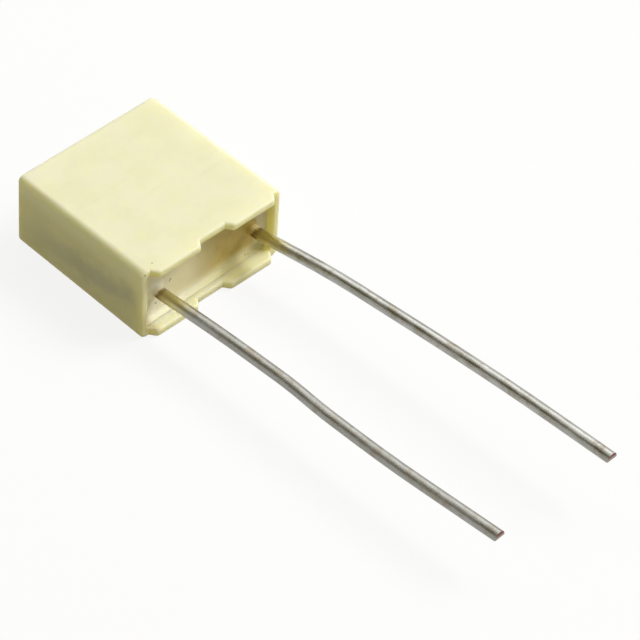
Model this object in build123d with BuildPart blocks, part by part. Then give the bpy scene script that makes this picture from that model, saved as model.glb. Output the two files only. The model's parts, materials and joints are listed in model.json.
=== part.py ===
import os
from math import radians, tan

from build123d import *

# Box film capacitor, lying on one broad face as it comes to rest. Millimetres.
# +Z is up through the thickness, +X runs from the left lead to the right lead and the
# leads leave along -Y. The origin is the middle of the underside, halfway between the
# tips of the feet and the closed end.

# Leads: tinned wires, flattened where they are welded to the sprayed contacts and
# sheared to length
lead_pitch = 5.0
wire_diameter = 0.5
left_lead_length = 17.0
right_lead_length = 17.3
weld_flat_depth = 0.08
weld_length = 3.4
weld_lead_in = 0.3
tip_land = 0.3
tip_bevel_angle = 38

# Corners of each lead's centre line, as shares of that lead's length: how far out from
# the feet, how far to +X and how far up
left_bend_shares = (
    (-0.018, 0, 0),
    (0.170, 0.0097, 0.0067),
    (0.382, 0.0156, 0.0107),
    (0.476, 0.0128, 0.0088),
    (0.688, 0.0161, 0.0111),
    (1.000, 0.0321, 0.0221),
)
right_bend_shares = (
    (-0.016, 0, 0),
    (0.185, 0.0228, 0.0170),
    (0.526, 0.0439, 0.0327),
    (0.728, 0.0538, 0.0400),
    (1.000, 0.0618, 0.0460),
)
bend_run_share = 0.45

# Case: a thin moulded box, open where the leads come out
lead_to_end_face = 1.1
case_length = 7.5
case_thickness = 3.5
side_wall = 0.35
end_wall = 0.4
draft_angle = 0.3
long_edge_radius = 0.32
end_edge_radius = 0.2
cavity_corner_radius = 0.25
rim_edge_radius = 0.11

# Feet: two on the rim of each broad wall, which hold the rim off the board
foot_height = 0.3
foot_spacing = 1.3
foot_end_margin = 0.4
foot_flank = 0.22
foot_tip_radius = 0.18

# Resin: poured to below the rim, climbing the walls and the wires a little. It set with
# its surface a little aslant, nearer the rim at the left lead
resin_depth = 0.78
resin_slope = 0.025
meniscus_radius = 0.2
meniscus_land = 0.012
meniscus_room_share = 0.48

# Winding: a flattened roll of metallised film, its axis along X, with a sprayed metal
# contact on each end
resin_over_winding = 0.75
winding_floor_gap = 0.35
winding_side_gap = 0.25
spray_thickness = 0.3
spray_inset = 0.05

# How far a cut runs past what it cuts
overrun = 0.5

# Worked out from the sizes above
case_width = lead_pitch + 2 * lead_to_end_face
cavity_width = case_width - 2 * side_wall
cavity_thickness = case_thickness - 2 * side_wall
cavity_length = case_length - end_wall
wire_radius = wire_diameter / 2
mid_z = case_thickness / 2
feet_y = -case_length / 2
rim_y = feet_y + foot_height
resin_y = feet_y + resin_depth
winding_near_y = resin_y + resin_over_winding
winding_far_y = case_length / 2 - end_wall - winding_floor_gap
winding_height = winding_far_y - winding_near_y
winding_thickness = cavity_thickness - 2 * winding_side_gap
spray_face_x = lead_pitch / 2 - wire_radius + weld_flat_depth
winding_length = 2 * (spray_face_x - spray_thickness)
beside_lead = lead_to_end_face - side_wall - wire_radius - 2 * meniscus_land
meniscus = min(meniscus_radius, meniscus_room_share * beside_lead)

# Sections across the case look along +Y and sections across the roll look along +X
mouth_plane = Plane(origin=(0, feet_y, mid_z), x_dir=(1, 0, 0), z_dir=(0, 1, 0))
resin_plane = Plane(origin=(0, resin_y, mid_z), x_dir=(1, resin_slope, 0), z_dir=(-resin_slope, 1, 0))
roll_plane = Plane(
    origin=(0, (winding_near_y + winding_far_y) / 2, mid_z), x_dir=(0, 1, 0), z_dir=(1, 0, 0)
)
middle_plane = Plane.XY.offset(mid_z)

os.makedirs("parts", exist_ok=True)


def foot_outline(side):
    """Corners of one foot, seen square on to the broad face."""
    root_near = foot_spacing / 2
    root_far = case_width / 2 - foot_end_margin
    corners = (
        (root_near, rim_y),
        (root_near + foot_flank, feet_y),
        (root_far - foot_flank, feet_y),
        (root_far, rim_y),
    )
    return [(side * x, y) for x, y in corners]


def lead_route(side, length, bend_shares):
    """Corners of a lead's centre line, from its welded end to its tip."""
    root_x = side * lead_pitch / 2
    route = [Vector(root_x, winding_near_y + weld_length, mid_z)]
    for out, aside, up in bend_shares:
        route.append(Vector(root_x + aside * length, feet_y - out * length, mid_z + up * length))
    return route


def bend_radii(route):
    """The widest arc that fits at each corner of a route."""
    radii = []
    for before, corner, after in zip(route, route[1:], route[2:]):
        run_in, run_out = corner - before, after - corner
        tangent = bend_run_share * min(run_in.length, run_out.length)
        radii.append(tangent / tan(radians(run_in.get_angle(run_out) / 2)))
    return radii


def bevel_outline():
    """What the cutters take off the underside of a tip, seen from the side, the tip at 0."""
    top = wire_radius - tip_land
    bottom = -wire_radius - overrun
    back = (top - bottom) / tan(radians(tip_bevel_angle))
    return [(0, top), (-back, bottom), (overrun, bottom), (overrun, top)]


# The space inside the case: it hollows the case out, and the resin is poured into it
with BuildPart() as cavity:
    with BuildSketch(mouth_plane):
        Rectangle(cavity_width, cavity_thickness)
    extrude(amount=cavity_length, taper=draft_angle)
    end_faces = cavity.faces().filter_by(Axis.Y)
    fillet(cavity.edges() - end_faces.edges(), radius=cavity_corner_radius)

with BuildPart() as case:
    with BuildSketch(mouth_plane):
        RectangleRounded(case_width, case_thickness, long_edge_radius)
    extrude(amount=case_length, taper=draft_angle)
    fillet(case.faces().sort_by(Axis.Y)[-1].edges(), radius=end_edge_radius)
    add(cavity.part, mode=Mode.SUBTRACT)
    # All but the feet is cut back to the rim, right through both broad walls
    with BuildSketch(middle_plane) as rim_cut:
        with Locations((0, feet_y)):
            Rectangle(case_width + overrun, 2 * foot_height)
        for side in (-1, 1):
            with BuildLine():
                Polyline(foot_outline(side), close=True)
            make_face(mode=Mode.SUBTRACT)
        fillet(rim_cut.vertices().group_by(Axis.Y)[1], radius=foot_tip_radius)
    extrude(amount=case_thickness, both=True, mode=Mode.SUBTRACT)
    # The rim and the feet are rounded along both faces of the wall
    mouth_edges = case.edges().filter_by(lambda edge: edge.center().Y < rim_y + rim_edge_radius)
    across_wall = mouth_edges.filter_by(Axis.Z)
    fillet(mouth_edges - across_wall, radius=rim_edge_radius)
case.part.label = "case"
export_step(case.part, "parts/case.step")

with BuildPart() as film_winding:
    with BuildSketch(roll_plane):
        SlotOverall(winding_height, winding_thickness)
    extrude(amount=winding_length / 2, both=True)
film_winding.part.label = "film_winding"
export_step(film_winding.part, "parts/film_winding.step")

potted = [film_winding.part]
for hand, side in (("left", -1), ("right", 1)):
    with BuildPart() as end_spray:
        with BuildSketch(roll_plane.offset(side * winding_length / 2)):
            SlotOverall(winding_height - 2 * spray_inset, winding_thickness - 2 * spray_inset)
        extrude(amount=side * spray_thickness)
    end_spray.part.label = f"end_spray_{hand}"
    export_step(end_spray.part, f"parts/end_spray_{hand}.step")
    potted.append(end_spray.part)

for hand, side, length, bend_shares in (
    ("left", -1, left_lead_length, left_bend_shares),
    ("right", 1, right_lead_length, right_bend_shares),
):
    route = lead_route(side, length, bend_shares)
    # The wire is straight as far as the resin holds it
    leaves_resin = Vector(route[0].X, resin_y + resin_slope * route[0].X - meniscus, mid_z)
    with BuildPart() as lead:
        with BuildLine() as centre_line:
            FilletPolyline(*route, radius=bend_radii([leaves_resin, *route[1:]]))
        with BuildSketch(Plane(origin=route[0], z_dir=route[1] - route[0])):
            Circle(wire_radius)
        sweep(path=centre_line.wires()[0])
        # The flat that lies against the sprayed contact
        with BuildSketch(middle_plane):
            with Locations((side * (spray_face_x - wire_radius), route[0].Y)):
                Rectangle(wire_diameter, 2 * (weld_length + weld_lead_in))
        extrude(amount=wire_diameter, both=True, mode=Mode.SUBTRACT)
        # The bevel that the cutters left on the underside of the tip
        outward = (route[-1] - route[-2]).normalized()
        sideways = outward.cross(Vector(0, 0, 1)).normalized()
        with BuildSketch(Plane(origin=route[-1], x_dir=outward, z_dir=sideways)):
            with BuildLine():
                Polyline(bevel_outline(), close=True)
            make_face()
        extrude(amount=wire_diameter, both=True, mode=Mode.SUBTRACT)
    lead.part.label = f"lead_{hand}"
    export_step(lead.part, f"parts/lead_{hand}.step")
    potted.append(lead.part)

# The air over the resin: its rounded lower edges leave the resin climbing what it wets
with BuildPart() as air:
    with BuildSketch(resin_plane):
        RectangleRounded(
            cavity_width - 2 * meniscus_land,
            cavity_thickness - 2 * meniscus_land,
            cavity_corner_radius - meniscus_land,
        )
        with GridLocations(lead_pitch, 0, 2, 1):
            Circle(wire_radius + meniscus_land, mode=Mode.SUBTRACT)
    extrude(amount=resin_depth + overrun, dir=(0, -1, 0))
    fillet(air.faces().sort_by(Axis.Y)[-1].edges(), radius=meniscus)

with BuildPart() as potting_resin:
    add(cavity.part)
    split(bisect_by=resin_plane.offset(-meniscus), keep=Keep.TOP)
    for piece in (air.part, *potted):
        add(piece, mode=Mode.SUBTRACT)
potting_resin.part.label = "potting_resin"
export_step(potting_resin.part, "parts/potting_resin.step")
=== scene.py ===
import json
import math

import bpy
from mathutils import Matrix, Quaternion, Vector


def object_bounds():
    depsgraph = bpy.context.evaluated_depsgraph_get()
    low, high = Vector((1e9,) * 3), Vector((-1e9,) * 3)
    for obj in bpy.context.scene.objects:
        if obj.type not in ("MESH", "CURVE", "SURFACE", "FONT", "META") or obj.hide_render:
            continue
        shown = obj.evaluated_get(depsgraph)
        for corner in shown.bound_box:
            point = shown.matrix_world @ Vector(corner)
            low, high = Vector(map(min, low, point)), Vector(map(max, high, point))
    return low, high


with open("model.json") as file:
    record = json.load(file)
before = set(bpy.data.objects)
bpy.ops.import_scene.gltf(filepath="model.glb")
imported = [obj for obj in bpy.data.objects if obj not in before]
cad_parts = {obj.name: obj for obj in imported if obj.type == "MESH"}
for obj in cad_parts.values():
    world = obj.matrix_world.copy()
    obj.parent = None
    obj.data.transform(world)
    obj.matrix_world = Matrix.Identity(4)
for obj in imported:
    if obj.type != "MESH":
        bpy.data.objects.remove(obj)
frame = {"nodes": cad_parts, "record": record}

cad_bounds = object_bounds()

MM = 0.001
PER_MM = 1 / MM
WHITE = (1, 1, 1, 1)

# Camera: where it stands round the part, what it looks at and how far it is rolled
FRAME_PIXELS = 640
FOCAL_PIXELS = 4237
SENSOR_WIDTH = 36
CAMERA_AZIMUTH = -46.713
CAMERA_ELEVATION = 45.355
CAMERA_ROLL = 3.834
CAMERA_DISTANCE = 160 * MM
CAMERA_CLIP_START = 8 * MM
CAMERA_TARGET = (1.047 * MM, -8.350 * MM, 1.75 * MM)

# Lamps, each flat and facing the part: azimuth and elevation in degrees, distance, width
# and height in metres, how bright its face is, where 1 is white, and its colour
KEY_LAMP = (66, 48, 0.50, 0.240, 0.240, 12.7, (1.0, 0.99, 0.97))
TOP_BACK_LAMP = (140, 52, 0.30, 0.34, 0.13, 1.65, (1.0, 0.99, 0.97))
FRONT_LAMP = (25, 35, 0.30, 0.20, 0.10, 0.6, (1.0, 0.97, 0.86))

# What the soft light from all round looks like to matt surfaces
AMBIENT_COLOUR = (1.0, 0.95, 0.65, 1)
AMBIENT_STRENGTH = 0.22

# Floor: white as it is seen, with a soft shadow. The light it sends up is a warm grey, and
# part of that is a glow of its own, as from a lit table
FLOOR_SIZE = 4.0
FLOOR_COLOUR = (0.86, 0.86, 0.86, 1)
FLOOR_LIFT = 0.86
FLOOR_BOUNCE_COLOUR = (0.34, 0.31, 0.16, 1)
FLOOR_GLOW_COLOUR = (1.0, 0.93, 0.56, 1)
FLOOR_GLOW = 0.20

# A brown card beyond the camera's view, which the wires' left sides mirror
CARD_COLOUR = (0.34, 0.315, 0.225, 1)
CARD_AZIMUTH = -128
CARD_ELEVATION = 39
CARD_DISTANCE = 0.12
CARD_WIDTH = 0.17
CARD_HEIGHT = 0.090

# The materials' values. Lengths are in millimetres, and places are in the part's frame.
# - A pair of places is where something starts to show and where it is full
# - A coat is a colour, and the share of it where it is thickest
# - A pattern is soft random patches: how large they are, how many finer steps they have, how
#   rough those are, how the patches are squeezed along each axis, and where they fade in
# - A relief is a pattern too, and how deep it is. An edge is one, and how far it strays

# Half-way up the part: the middle of the case, the resin and the wires' roots
MIDDLE_HEIGHT = 1.75

# Random patches run from 0 to 1, about this middle
CLOUD_MIDDLE = 0.5

# Dots and specks are full within these shares of their radius, and fade out to its edge
DOT_CORE = 0.55
SPECK_CORE = 0.5

# Case: cream, a little uneven, with faint streaks where the plastic flowed
CREAM = (0.845, 0.815, 0.555, 1)
PALER_CREAM = (0.872, 0.845, 0.600, 1)
CREAM_PATCHES = dict(grain=1.6, detail=3.0, start=0.35, end=0.65)
STREAK_COAT = ((0.70, 0.67, 0.44, 1), 0.22)
STREAKS = dict(
    grain=0.9, detail=4.0, rough=0.6, squeeze=(0.35, 1.4, 1.4), start=0.56, end=0.74
)

# Inside the case: what lies within these places along each axis is painted yellower to the right
# and brown in the left corner, both painted shade
INSIDE_X = (3.40, 3.28)
INSIDE_Y = (3.60, 3.45)
INSIDE_Z = (1.52, 1.42)
RIGHT_HALF = (-0.5, 1.2)
SHADE_YELLOW_COAT = ((0.85, 0.81, 0.49, 1), 0.85)
LEFT_CORNER = (-2.70, -3.05)
CASE_CORNER_SHADE_COAT = ((0.60, 0.52, 0.31, 1), 0.8)

# Narrow sides of the case: a paler strip along the top of both, painted light spilling from the
# lit top
NARROW_SIDES = (3.45, 3.55)
PAINTED_LIGHT_STRIP = (2.2, 3.1)
PAINTED_LIGHT_COAT = ((0.98, 0.965, 0.76, 1), 0.85)

# Left side of the case: a grey band below that strip, a painted dark reflection. The height of its
# middle and how much that rises towards the mouth, how wide and how ragged it is, and where it
# ends
LEFT_SIDE = (-3.45, -3.55)
DARK_REFLECTION_COAT = ((0.58, 0.58, 0.48, 1), 0.85)
DARK_REFLECTION_HEIGHT = 1.5
DARK_REFLECTION_RISE = 0.1
DARK_REFLECTION_WIDTH = (0.95, 0.05)
DARK_REFLECTION_EDGE = dict(reach=1.3, grain=0.9, detail=4.0, rough=0.6)
DARK_REFLECTION_FAR_END = (4.2, -0.5)
DARK_REFLECTION_NEAR_END = (-3.45, -2.6)

# Specks on the case: three near the left lead, each with its radius, and faint ones
# scattered over parts of it
CASE_SPECKS = (
    (-3.44, -3.44, 3.38, 0.05),
    (-3.62, -3.40, 3.20, 0.045),
    (-2.87, -3.19, 3.50, 0.04),
)
CASE_SPECK_SHARE = 0.8
CASE_SPECK_COLOUR = (0.25, 0.20, 0.09, 1)
FAINT_SPECKS = dict(spacing=1.25, radius=0.045)
FAINT_SPECK_PARTS = dict(grain=2.3, start=0.5, end=0.6)
FAINT_SPECK_SHARE = 0.5

# Surface of the case, and the light that goes into the plastic: its share, how deep it goes
# at most, and the share of that depth for red, green and blue
CASE_ROUGHNESS = (0.36, 0.50)
CASE_WEAR = dict(grain=0.7, detail=4.0, rough=0.65, start=0.3, end=0.7)
CASE_SHINE = 0.3
SINK_MARKS = dict(depth=0.02, grain=3.0, detail=1.0)
MOULD_GRAIN = dict(depth=0.002, grain=0.07, detail=3.0, rough=0.6)
LIGHT_LET_IN = 0.85
LIGHT_DEPTH = 0.65
LIGHT_DEPTH_SHARES = (1.0, 0.90, 0.45)

# Resin: brown, partly painted shade, paler in the left half, and palest at its ends by the leads
# with a painted highlight
BROWN_RESIN_AND_SHADE = (0.47, 0.35, 0.095, 1)
CLOUDY_RESIN = (0.58, 0.445, 0.155, 1)
RESIN_CLOUDS = dict(grain=1.1, detail=4.0, rough=0.55, start=0.32, end=0.68)
PALE_RESIN = (0.875, 0.815, 0.59, 1)
RESIN_LEFT_HALF = (1.2, -1.0)
RESIN_LEFT_END = (-1.2, -2.6)
RESIN_RIGHT_END = (2.6, 3.0)
RESIN_END_COAT_AND_HIGHLIGHT = ((0.85, 0.82, 0.745, 1), 0.9)

# Resin by the broad walls: a thin film of it climbs them, pale as the wall shows through and
# partly a painted highlight, yellower on the right as painted shade, and brown in the left corner
# as painted shade
RESIN_BY_WALL = (0.75, 1.30)
SHADED_FILM_RIGHT = (0.86, 0.82, 0.48, 1)
HIGHLIT_FILM_LEFT = (0.93, 0.91, 0.68, 1)
FILM_SHARE = 0.85
RESIN_CORNER_SHADE_COAT = ((0.64, 0.57, 0.38, 1), 0.8)
RESIN_CLIMB = (0.8, 1.6)
RESIN_CLIMB_CURVE = 2.0
RESIN_CLIMB_DEPTH = 0.30

# Bubbles and specks in the resin, each speck with its radius, and the resin's surface
BUBBLES = dict(spacing=0.42, radius=0.05)
BUBBLE_COAT = ((0.35, 0.26, 0.12, 1), 0.4)
BUBBLE_DEPTH = 0.02
RESIN_SPECKS = (
    (-1.72, -3.01, 1.76, 0.06),
    (-1.76, -3.01, 1.68, 0.05),
    (-2.47, -3.02, 0.97, 0.06),
    (0.9, -2.95, 1.0, 0.035),
)
RESIN_SPECK_COAT = ((0.22, 0.18, 0.09, 1), 0.8)
RESIN_WAVES = dict(depth=0.06, grain=0.8)
RESIN_ROUGHNESS = 0.48
RESIN_SHINE = 0.35

# Wires: tin mottled along their length with brown patches, and how dull each wire is, from 0
# to 1, which darkens it and roughens it by up to the rise given
DARK_TIN = (0.295, 0.293, 0.262, 1)
LIGHT_TIN = (0.445, 0.445, 0.420, 1)
DULL_TIN = (0.22, 0.22, 0.20, 1)
TIN_MOTTLE = dict(
    grain=0.16, detail=4.0, rough=0.6, squeeze=(1.0, 0.12, 1.0), start=0.3, end=0.7
)
TARNISH_COAT = ((0.25, 0.21, 0.15, 1), 0.6)
TARNISH = dict(grain=0.5, detail=3.0, rough=0.6, start=0.48, end=0.68)
TIN_ROUGHNESS = (0.25, 0.37)
DULL_ROUGHNESS_RISE = 0.30
DRAW_LINES = dict(depth=0.0025, grain=0.05, detail=3.0, rough=0.6, squeeze=(1.0, 0.05, 1.0))
DENTS = dict(depth=0.012, grain=0.35)
WIRE_DULLNESS = (("left", 0.35), ("right", 0.0))

# Roots of the wires: a painted reflection of the yellow case near it, then a painted brown shade
# where they meet the resin, then under resin that creeps further out over their tops
WARM_REFLECTION = (-5.4, -4.0)
WARM_REFLECTION_COAT = ((0.57, 0.50, 0.22, 1), 0.85)
ROOT_EDGE = dict(reach=0.2, grain=0.15, detail=3.0)
ROOT_SHADE = (-3.68, -3.28)
ROOT_SHADE_COAT = ((0.20, 0.11, 0.03, 1), 0.9)
CREPT_OVER = (-3.34, -3.18)
CREEP_ON_TOP = 0.5
LEFT_WIRE = (2.0, -2.0)
CREPT_RESIN_RIGHT = (0.62, 0.50, 0.24, 1)
CREPT_RESIN_LEFT = (0.85, 0.78, 0.62, 1)

# Cut ends of the wires: how near to the wire's axis and its tip the cut lies, and how high
# above the tip's middle its copper is bare
CUT_OFF_AXIS = (0.243, 0.236)
CUT_FROM_TIP = (-0.75, -0.6)
CUT_TIN = (0.30, 0.27, 0.23, 1)
BARE_COPPER = (0.17, 0.045, 0.03, 1)
COPPER_HEIGHT = (0.06, 0.11)
COPPER_EDGE = dict(reach=0.16, grain=0.12, detail=3.0)

# Winding: the fine lines of its turns
DARK_TURNS = (0.50, 0.50, 0.53, 1)
LIGHT_TURNS = (0.72, 0.72, 0.74, 1)
TURN_LINES = dict(grain=0.05, squeeze=(0.02, 1.0, 1.0))
TURN_FADE = (0.35, 0.65)
TURN_DEPTH = 0.004
TURN_METAL = 0.6
TURN_ROUGHNESS = 0.3

# Contacts: the grains of sprayed zinc
DARK_ZINC = (0.30, 0.31, 0.32, 1)
LIGHT_ZINC = (0.50, 0.51, 0.52, 1)
ZINC_GRAINS = dict(grain=0.09, detail=4.0, rough=0.7)
ZINC_FADE = (0.35, 0.65)
ZINC_DEPTH = 0.03
ZINC_METAL = 0.8
ZINC_ROUGHNESS = 0.62


def compass(azimuth, elevation):
    """The direction from the part towards a place at that azimuth and elevation."""
    around, above = math.radians(azimuth), math.radians(elevation)
    level = math.cos(above)
    return Vector((math.sin(around) * level, -math.cos(around) * level, math.sin(above)))


def make_camera():
    data = bpy.data.cameras.new("camera")
    data.sensor_width = SENSOR_WIDTH
    data.lens = FOCAL_PIXELS / FRAME_PIXELS * SENSOR_WIDTH
    data.clip_start = CAMERA_CLIP_START
    camera = bpy.data.objects.new("camera", data)
    back = compass(CAMERA_AZIMUTH, CAMERA_ELEVATION)
    camera.location = Vector(CAMERA_TARGET) + back * CAMERA_DISTANCE
    camera.rotation_mode = "QUATERNION"
    level = back.to_track_quat("Z", "Y")
    camera.rotation_quaternion = Quaternion(back, math.radians(CAMERA_ROLL)) @ level
    bpy.context.scene.collection.objects.link(camera)
    bpy.context.scene.camera = camera


def make_lamp(name, azimuth, elevation, distance, width, height, brightness, colour):
    """A flat lamp. Its power is its face's brightness times pi and the face's area."""
    data = bpy.data.lights.new(name, "AREA")
    data.shape = "RECTANGLE"
    data.size = width
    data.size_y = height
    data.energy = brightness * math.pi * width * height
    data.color = colour
    lamp = bpy.data.objects.new(name, data)
    towards = compass(azimuth, elevation)
    lamp.location = towards * distance
    lamp.rotation_mode = "QUATERNION"
    lamp.rotation_quaternion = towards.to_track_quat("Z", "Y")
    bpy.context.scene.collection.objects.link(lamp)


def fill_socket(tree, socket, value):
    """Sets a socket to a value, or joins it to another socket."""
    if isinstance(value, bpy.types.NodeSocket):
        tree.links.new(value, socket)
    else:
        socket.default_value = value


def fill_sockets(tree, node, sockets):
    """Sets or joins a node's sockets, each by its name."""
    for name, value in sockets.items():
        fill_socket(tree, node.inputs[name], value)


def add_node(tree, kind, settings=None, **sockets):
    """A shader node with its settings and its sockets, in whose names _ is a space."""
    node = tree.nodes.new(kind)
    for name, value in (settings or {}).items():
        setattr(node, name, value)
    fill_sockets(tree, node, {name.replace("_", " "): value for name, value in sockets.items()})
    return node


def calculate(tree, operation, *values):
    """The outcome of one sum on numbers or sockets."""
    node = tree.nodes.new("ShaderNodeMath")
    node.operation = operation
    for socket, value in zip(node.inputs, values):
        fill_socket(tree, socket, value)
    return node.outputs[0]


def calculate_vector(tree, operation, *values):
    """The outcome of one sum on vectors: a number for lengths and products, else a vector."""
    node = tree.nodes.new("ShaderNodeVectorMath")
    node.operation = operation
    for socket, value in zip(node.inputs, values):
        fill_socket(tree, socket, value)
    gives_number = operation in ("LENGTH", "DISTANCE", "DOT_PRODUCT")
    return node.outputs["Value" if gives_number else "Vector"]


def times(tree, *shares):
    """All the shares multiplied."""
    product = shares[0]
    for share in shares[1:]:
        product = calculate(tree, "MULTIPLY", product, share)
    return product


def off_centre(tree, value, centre):
    """How far the value is from the centre, to either side."""
    return calculate(tree, "ABSOLUTE", calculate(tree, "SUBTRACT", value, centre))


def ramp(tree, value, start, end, low=0.0, high=1.0, course="LINEAR"):
    """Low where the value is at the start or before it, high at the end and past it."""
    node = add_node(
        tree,
        "ShaderNodeMapRange",
        {"interpolation_type": course},
        Value=value,
        From_Min=start,
        From_Max=end,
        To_Min=low,
        To_Max=high,
    )
    return node.outputs["Result"]


def fade(tree, value, start, end):
    """A soft ramp from 0 at the start to 1 at the end."""
    return ramp(tree, value, start, end, course="SMOOTHSTEP")


def millimetres(tree):
    """Places on the part in millimetres, in the frame that the part was drawn in."""
    coordinates = add_node(tree, "ShaderNodeTexCoord").outputs["Object"]
    scaled = add_node(tree, "ShaderNodeMapping", Vector=coordinates, Scale=(PER_MM,) * 3)
    return scaled.outputs["Vector"]


def split_axes(tree, place):
    """How far along X, Y and Z a place is."""
    node = add_node(tree, "ShaderNodeSeparateXYZ", Vector=place)
    return node.outputs["X"], node.outputs["Y"], node.outputs["Z"]


def cloud(tree, place, grain, detail=2.0, rough=0.5, squeeze=None):
    """Soft random light and dark, in patches about as large as the grain."""
    if squeeze is not None:
        place = add_node(tree, "ShaderNodeMapping", Vector=place, Scale=squeeze).outputs["Vector"]
    node = add_node(
        tree, "ShaderNodeTexNoise", Vector=place, Scale=1 / grain, Detail=detail, Roughness=rough
    )
    return node.outputs["Fac"]


def patches(tree, place, start, end, **pattern):
    """1 in a pattern's patches, 0 between them."""
    return fade(tree, cloud(tree, place, **pattern), start, end)


def ragged(tree, place, reach, **pattern):
    """What makes an edge ragged: random, by at most half the reach to either side."""
    either_way = calculate(tree, "SUBTRACT", cloud(tree, place, **pattern), CLOUD_MIDDLE)
    return times(tree, either_way, reach)


def dots(tree, place, spacing, radius):
    """1 inside small round dots scattered about that far apart, else 0."""
    node = add_node(tree, "ShaderNodeTexVoronoi", Vector=place, Scale=1 / spacing)
    edge = radius / spacing
    return fade(tree, node.outputs["Distance"], edge, DOT_CORE * edge)


def placed_specks(tree, place, specks):
    """1 inside round specks, each at its own place, else 0."""
    found = 0.0
    for *spot, radius in specks:
        distance = calculate_vector(tree, "DISTANCE", place, tuple(spot))
        found = calculate(
            tree, "MAXIMUM", found, fade(tree, distance, radius, SPECK_CORE * radius)
        )
    return found


def tint(tree, share, under, over):
    """One colour over another, by the share given."""
    node = add_node(tree, "ShaderNodeMix", {"data_type": "RGBA"}, Factor=share)
    lower, upper = [socket for socket in node.inputs if socket.type == "RGBA"]
    fill_socket(tree, lower, under)
    fill_socket(tree, upper, over)
    return [socket for socket in node.outputs if socket.type == "RGBA"][0]


def lay_coat(tree, colour, coat, *shares):
    """A coat over a colour, as far as all the shares let it show."""
    coat_colour, thickest = coat
    return tint(tree, times(tree, *shares, thickest), colour, coat_colour)


def relief(tree, height, depth, over=None):
    """A bump as deep as given, over another bump where there is one."""
    node = add_node(tree, "ShaderNodeBump", Height=height, Strength=1.0, Distance=depth * MM)
    if over is not None:
        tree.links.new(over, node.inputs["Normal"])
    return node.outputs["Normal"]


def random_relief(tree, place, depth, over=None, **pattern):
    """A bump made of a pattern's patches."""
    return relief(tree, cloud(tree, place, **pattern), depth, over)


def new_material(name):
    material = bpy.data.materials.new(name)
    material.use_nodes = True
    tree = material.node_tree
    return material, tree, tree.nodes["Principled BSDF"]


def mix_shaders(tree, share, under, over):
    """One shader over another, by the share given."""
    node = add_node(tree, "ShaderNodeMixShader", Fac=share)
    tree.links.new(under.outputs[0], node.inputs[1])
    tree.links.new(over.outputs[0], node.inputs[2])
    return node


def background_seen(tree):
    """1 for rays from the camera, and for those that gloss or glass sends on, else 0."""
    path = add_node(tree, "ShaderNodeLightPath")
    seen = calculate(tree, "MAXIMUM", path.outputs["Is Camera Ray"], path.outputs["Is Glossy Ray"])
    return calculate(tree, "MAXIMUM", seen, path.outputs["Is Transmission Ray"])


def make_world():
    world = bpy.data.worlds.new("studio")
    bpy.context.scene.world = world
    world.use_nodes = True
    tree = world.node_tree
    tree.nodes.clear()
    ambient = add_node(
        tree, "ShaderNodeBackground", Color=AMBIENT_COLOUR, Strength=AMBIENT_STRENGTH
    )
    white = add_node(tree, "ShaderNodeBackground", Color=WHITE, Strength=1.0)
    light = mix_shaders(tree, background_seen(tree), ambient, white)
    add_node(tree, "ShaderNodeOutputWorld", Surface=light.outputs[0])


def pale_floor():
    material, tree, shader = new_material("pale_floor")
    tree.nodes.remove(shader)
    matt = add_node(tree, "ShaderNodeBsdfDiffuse", Color=FLOOR_COLOUR)
    white = add_node(tree, "ShaderNodeEmission", Color=WHITE, Strength=1.0)
    seen = mix_shaders(tree, FLOOR_LIFT, matt, white)
    bounce = add_node(tree, "ShaderNodeBsdfDiffuse", Color=FLOOR_BOUNCE_COLOUR)
    glow = add_node(tree, "ShaderNodeEmission", Color=FLOOR_GLOW_COLOUR, Strength=FLOOR_GLOW)
    sent_up = tree.nodes.new("ShaderNodeAddShader")
    tree.links.new(bounce.outputs[0], sent_up.inputs[0])
    tree.links.new(glow.outputs[0], sent_up.inputs[1])
    floor = mix_shaders(tree, background_seen(tree), sent_up, seen)
    tree.links.new(floor.outputs[0], tree.nodes["Material Output"].inputs["Surface"])
    return material


def make_floor():
    bpy.ops.object.select_all(action="DESELECT")
    bpy.ops.mesh.primitive_plane_add(size=FLOOR_SIZE, location=(0, 0, cad_bounds[0][2]))
    floor = bpy.context.object
    floor.name = "floor"
    floor.data.materials.append(pale_floor())


def brown_card():
    material, tree, shader = new_material("brown_card")
    fill_sockets(
        tree, shader, {"Base Color": CARD_COLOUR, "Roughness": 1, "Specular IOR Level": 0}
    )
    return material


def make_card():
    bpy.ops.object.select_all(action="DESELECT")
    towards = compass(CARD_AZIMUTH, CARD_ELEVATION)
    turn = towards.to_track_quat("Z", "Y").to_euler()
    bpy.ops.mesh.primitive_plane_add(size=1, location=towards * CARD_DISTANCE, rotation=turn)
    card = bpy.context.object
    card.name = "brown_card"
    card.scale = (CARD_WIDTH, CARD_HEIGHT, 1)
    card.visible_camera = False
    card.data.materials.append(brown_card())


def painted_inner_shade(tree, place, colour):
    """The case's colour, with painted shade inside: yellower to the right and brown in the left
    corner.
    """
    x, y, z = split_axes(tree, place)
    inside = times(
        tree,
        fade(tree, calculate(tree, "ABSOLUTE", x), *INSIDE_X),
        fade(tree, y, *INSIDE_Y),
        fade(tree, off_centre(tree, z, MIDDLE_HEIGHT), *INSIDE_Z),
    )
    # Painted shade: yellower over the right half of the inside, and brown in its left corner
    colour = lay_coat(tree, colour, SHADE_YELLOW_COAT, inside, ramp(tree, x, *RIGHT_HALF))
    return lay_coat(tree, colour, CASE_CORNER_SHADE_COAT, inside, fade(tree, x, *LEFT_CORNER))


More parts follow.
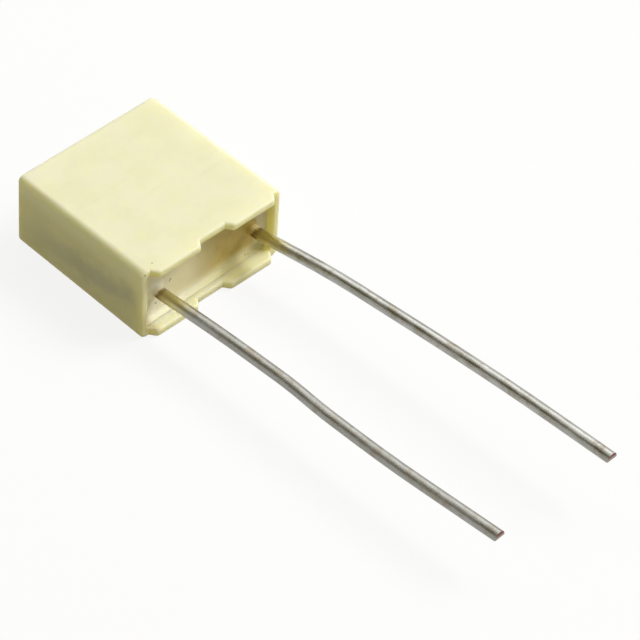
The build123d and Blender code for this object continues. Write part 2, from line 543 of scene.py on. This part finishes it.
def sides_with_painted_light(tree, place, colour):
    """The case's colour, with painted light and a painted reflection: paler strips along the top
    of its narrow sides, and a dark grey band on the left one.
    """
    x, y, z = split_axes(tree, place)
    narrow_sides = fade(tree, calculate(tree, "ABSOLUTE", x), *NARROW_SIDES)
    # Painted light: a paler strip along the top of both narrow sides
    colour = lay_coat(tree, colour, PAINTED_LIGHT_COAT, narrow_sides, fade(tree, z, *PAINTED_LIGHT_STRIP))
    # Painted reflection: a dark grey band along the left side
    level = calculate(tree, "ADD", z, times(tree, y, DARK_REFLECTION_RISE))
    off_line = off_centre(tree, level, DARK_REFLECTION_HEIGHT)
    uneven = calculate(tree, "ADD", off_line, ragged(tree, place, **DARK_REFLECTION_EDGE))
    across = fade(tree, uneven, *DARK_REFLECTION_WIDTH)
    along = times(tree, fade(tree, y, *DARK_REFLECTION_FAR_END), fade(tree, y, *DARK_REFLECTION_NEAR_END))
    return lay_coat(tree, colour, DARK_REFLECTION_COAT, across, along, fade(tree, x, *LEFT_SIDE))


def case_specks(tree, place):
    """How much of the specks on the case shows."""
    faint = times(
        tree,
        dots(tree, place, **FAINT_SPECKS),
        patches(tree, place, **FAINT_SPECK_PARTS),
        FAINT_SPECK_SHARE,
    )
    placed = times(tree, placed_specks(tree, place, CASE_SPECKS), CASE_SPECK_SHARE)
    return calculate(tree, "MAXIMUM", faint, placed)


def case_plastic():
    """Cream moulded plastic: satin, faintly uneven in colour, yellower inside as painted shade,
    paler along the top of the narrow sides as painted light, with a few specks and a painted dark
    reflection on the left side."""
    material, tree, shader = new_material("cream_plastic")
    place = millimetres(tree)
    colour = tint(tree, patches(tree, place, **CREAM_PATCHES), CREAM, PALER_CREAM)
    colour = lay_coat(tree, colour, STREAK_COAT, patches(tree, place, **STREAKS))
    colour = painted_inner_shade(tree, place, colour)
    colour = sides_with_painted_light(tree, place, colour)
    colour = tint(tree, case_specks(tree, place), colour, CASE_SPECK_COLOUR)
    wear = patches(tree, place, **CASE_WEAR)
    sunk = random_relief(tree, place, **SINK_MARKS)
    fill_sockets(tree, shader, {
        "Base Color": colour,
        "Roughness": ramp(tree, wear, 0, 1, *CASE_ROUGHNESS),
        "Specular IOR Level": CASE_SHINE,
        "Subsurface Weight": LIGHT_LET_IN,
        "Subsurface Scale": LIGHT_DEPTH * MM,
        "Subsurface Radius": LIGHT_DEPTH_SHARES,
        "Normal": random_relief(tree, place, over=sunk, **MOULD_GRAIN),
    })
    return material


def poured_resin():
    """Casting resin: brown, partly as painted shade, paler by the leads with a painted highlight,
    and paler where it climbs the walls, with painted shade in its left corner, tiny bubbles and a
    few specks."""
    material, tree, shader = new_material("tan_resin")
    place = millimetres(tree)
    x, _, z = split_axes(tree, place)
    left_half = fade(tree, x, *RESIN_LEFT_HALF)
    left_end, right_end = fade(tree, x, *RESIN_LEFT_END), fade(tree, x, *RESIN_RIGHT_END)
    by_end = calculate(tree, "MAXIMUM", left_end, right_end)
    off_middle = off_centre(tree, z, MIDDLE_HEIGHT)
    by_wall = fade(tree, off_middle, *RESIN_BY_WALL)
    film_light_and_shade = tint(tree, left_half, SHADED_FILM_RIGHT, HIGHLIT_FILM_LEFT)
    bubbles = dots(tree, place, **BUBBLES)

    colour = tint(tree, patches(tree, place, **RESIN_CLOUDS), BROWN_RESIN_AND_SHADE, CLOUDY_RESIN)
    # Painted light and shade: the left half paler, the brown right half partly shade, the ends
    # paler, partly a painted highlight
    colour = tint(tree, left_half, colour, PALE_RESIN)
    colour = lay_coat(tree, colour, RESIN_END_COAT_AND_HIGHLIGHT, by_end)
    # Painted light and shade: the film by the walls is partly a painted highlight, yellower on the
    # right and brown in the left corner as shade
    colour = lay_coat(tree, colour, (film_light_and_shade, FILM_SHARE), by_wall)
    colour = lay_coat(tree, colour, RESIN_CORNER_SHADE_COAT, by_wall, fade(tree, x, *LEFT_CORNER))
    colour = lay_coat(tree, colour, BUBBLE_COAT, bubbles)
    colour = lay_coat(tree, colour, RESIN_SPECK_COAT, placed_specks(tree, place, RESIN_SPECKS))

    climb = calculate(tree, "POWER", fade(tree, off_middle, *RESIN_CLIMB), RESIN_CLIMB_CURVE)
    climbed = relief(tree, climb, RESIN_CLIMB_DEPTH)
    wavy = random_relief(tree, place, over=climbed, **RESIN_WAVES)
    unpitted = calculate(tree, "SUBTRACT", 1.0, bubbles)
    fill_sockets(tree, shader, {
        "Base Color": colour,
        "Roughness": RESIN_ROUGHNESS,
        "Specular IOR Level": RESIN_SHINE,
        "Normal": relief(tree, unpitted, BUBBLE_DEPTH, over=wavy),
    })
    return material


def wire_root(tree, place, colour):
    """A wire's colour, with a painted reflection of the case and a painted shade at its root,
    crept over by resin, and how much of that resin there is."""
    x, y, z = split_axes(tree, place)
    # Painted reflection: the yellow case mirrored in the wire near its root
    colour = lay_coat(tree, colour, WARM_REFLECTION_COAT, fade(tree, y, *WARM_REFLECTION))
    inwards = calculate(tree, "ADD", y, ragged(tree, place, **ROOT_EDGE))
    # Painted shade: dark brown where the wire meets the resin
    colour = lay_coat(tree, colour, ROOT_SHADE_COAT, fade(tree, inwards, *ROOT_SHADE))
    above = calculate(tree, "SUBTRACT", z, MIDDLE_HEIGHT)
    creep = calculate(tree, "ADD", inwards, times(tree, above, CREEP_ON_TOP))
    crept_over = fade(tree, creep, *CREPT_OVER)
    resin = tint(tree, fade(tree, x, *LEFT_WIRE), CREPT_RESIN_RIGHT, CREPT_RESIN_LEFT)
    return tint(tree, crept_over, colour, resin), crept_over


def cut_end(tree, place, colour, tip, along):
    """A wire's colour, with the tin and the bare copper of its cut: everything well inside
    its round surface, next to the tip."""
    offset = calculate_vector(tree, "SUBTRACT", place, tuple(tip * PER_MM))
    ahead = calculate_vector(tree, "DOT_PRODUCT", offset, tuple(along))
    on_axis = add_node(
        tree, "ShaderNodeVectorMath", {"operation": "SCALE"}, Vector=tuple(along), Scale=ahead
    )
    beside = calculate_vector(tree, "SUBTRACT", offset, on_axis.outputs["Vector"])
    off_axis = calculate_vector(tree, "LENGTH", beside)
    cut = times(tree, fade(tree, off_axis, *CUT_OFF_AXIS), fade(tree, ahead, *CUT_FROM_TIP))
    _, _, height = split_axes(tree, offset)
    level = calculate(tree, "ADD", height, ragged(tree, place, **COPPER_EDGE))
    bare = times(tree, cut, fade(tree, level, *COPPER_HEIGHT))
    return tint(tree, bare, tint(tree, cut, colour, CUT_TIN), BARE_COPPER)


def tinned_wire(name, tip, along, dullness):
    """Dull tin over copper: mottled and drawn along the wire, with a painted reflection and a
    painted shade at its root, crept over by resin there, and bare copper where it was cut."""
    material, tree, shader = new_material(name)
    place = millimetres(tree)
    mottle = patches(tree, place, **TIN_MOTTLE)
    colour = tint(tree, mottle, DARK_TIN, LIGHT_TIN)
    colour = tint(tree, dullness, colour, DULL_TIN)
    colour = lay_coat(tree, colour, TARNISH_COAT, patches(tree, place, **TARNISH))
    colour, crept_over = wire_root(tree, place, colour)
    roughness = [value + DULL_ROUGHNESS_RISE * dullness for value in TIN_ROUGHNESS]
    lines = random_relief(tree, place, **DRAW_LINES)
    fill_sockets(tree, shader, {
        "Base Color": cut_end(tree, place, colour, tip, along),
        "Metallic": calculate(tree, "SUBTRACT", 1.0, crept_over),
        "Roughness": ramp(tree, mottle, 0, 1, *roughness),
        "Normal": random_relief(tree, place, over=lines, **DENTS),
    })
    return material


def wound_film():
    """The edges of many turns of metallised film, as close fine lines."""
    material, tree, shader = new_material("metallised_film")
    turns = cloud(tree, millimetres(tree), **TURN_LINES)
    fill_sockets(tree, shader, {
        "Base Color": tint(tree, fade(tree, turns, *TURN_FADE), DARK_TURNS, LIGHT_TURNS),
        "Metallic": TURN_METAL,
        "Roughness": TURN_ROUGHNESS,
        "Normal": relief(tree, turns, TURN_DEPTH),
    })
    return material


def sprayed_metal():
    """Zinc sprayed on as fine drops: matt grey and grainy."""
    material, tree, shader = new_material("sprayed_zinc")
    grains = cloud(tree, millimetres(tree), **ZINC_GRAINS)
    fill_sockets(tree, shader, {
        "Base Color": tint(tree, fade(tree, grains, *ZINC_FADE), DARK_ZINC, LIGHT_ZINC),
        "Metallic": ZINC_METAL,
        "Roughness": ZINC_ROUGHNESS,
        "Normal": relief(tree, grains, ZINC_DEPTH),
    })
    return material


def dress(node_name, material):
    for slot in frame["nodes"][node_name].material_slots:
        slot.material = material


bpy.context.scene.view_settings.view_transform = "Standard"
make_camera()
make_world()
make_floor()
make_card()
make_lamp("key", *KEY_LAMP)
make_lamp("top_back", *TOP_BACK_LAMP)
make_lamp("front", *FRONT_LAMP)

dress("case", case_plastic())
dress("potting_resin", poured_resin())
dress("film_winding", wound_film())
zinc = sprayed_metal()
dress("end_spray_left", zinc)
dress("end_spray_right", zinc)
pins = {mount["name"]: mount for mount in frame["record"]["mounts"] if mount["kind"] == "pin"}
for hand, dullness in WIRE_DULLNESS:
    pin = pins[f"lead_{hand}_end"]
    along = Vector(pin["axis"]).normalized()
    tip = Vector(pin["pos_m"]) + along * pin["dims"]["length_mm"] / 2 * MM
    dress(f"lead_{hand}", tinned_wire(f"tinned_wire_{hand}", tip, along, dullness))
